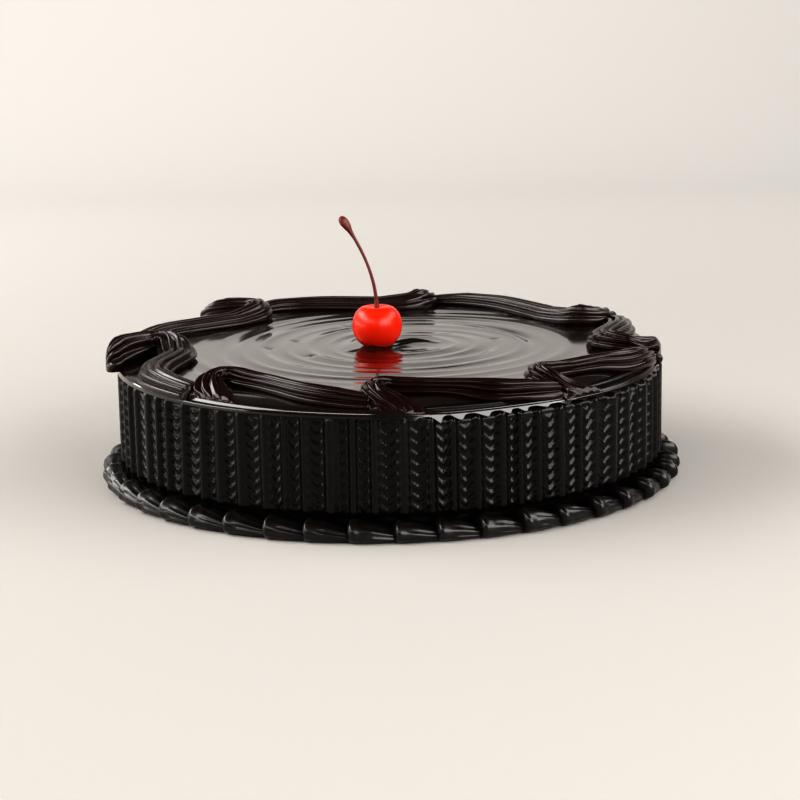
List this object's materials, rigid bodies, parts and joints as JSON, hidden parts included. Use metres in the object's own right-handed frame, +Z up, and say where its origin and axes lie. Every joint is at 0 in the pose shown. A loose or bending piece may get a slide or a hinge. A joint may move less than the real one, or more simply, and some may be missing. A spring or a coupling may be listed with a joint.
{
  "type": "chocolate cake",
  "caption": "Round cake coated in dark ganache, with a combed side, piped swags round the top, a shell border at the foot and a cherry in the middle.",
  "frame": {"origin": "middle of the flat underside, which stands on the surface", "axes": "+Z up; -Y is the side that faced the camera, +X to its right"},
  "size_m": [0.225, 0.225, 0.0989],
  "materials": {
    "ganache": "dark chocolate ganache, glossy",
    "cherry": "glossy fruit skin",
    "cherry_stem": "satin fruit stalk"
  },
  "bodies": {
    "root": {"cake": "ganache", "shell_border": "ganache", "piped_swag_1": "ganache", "piped_swag_2": "ganache", "piped_swag_3": "ganache", "piped_swag_4": "ganache", "piped_swag_5": "ganache", "piped_swag_6": "ganache", "piped_swag_7": "ganache", "piped_swag_8": "ganache", "cherry": "cherry", "cherry_stem": "cherry_stem"}
  },
  "joints": []
}
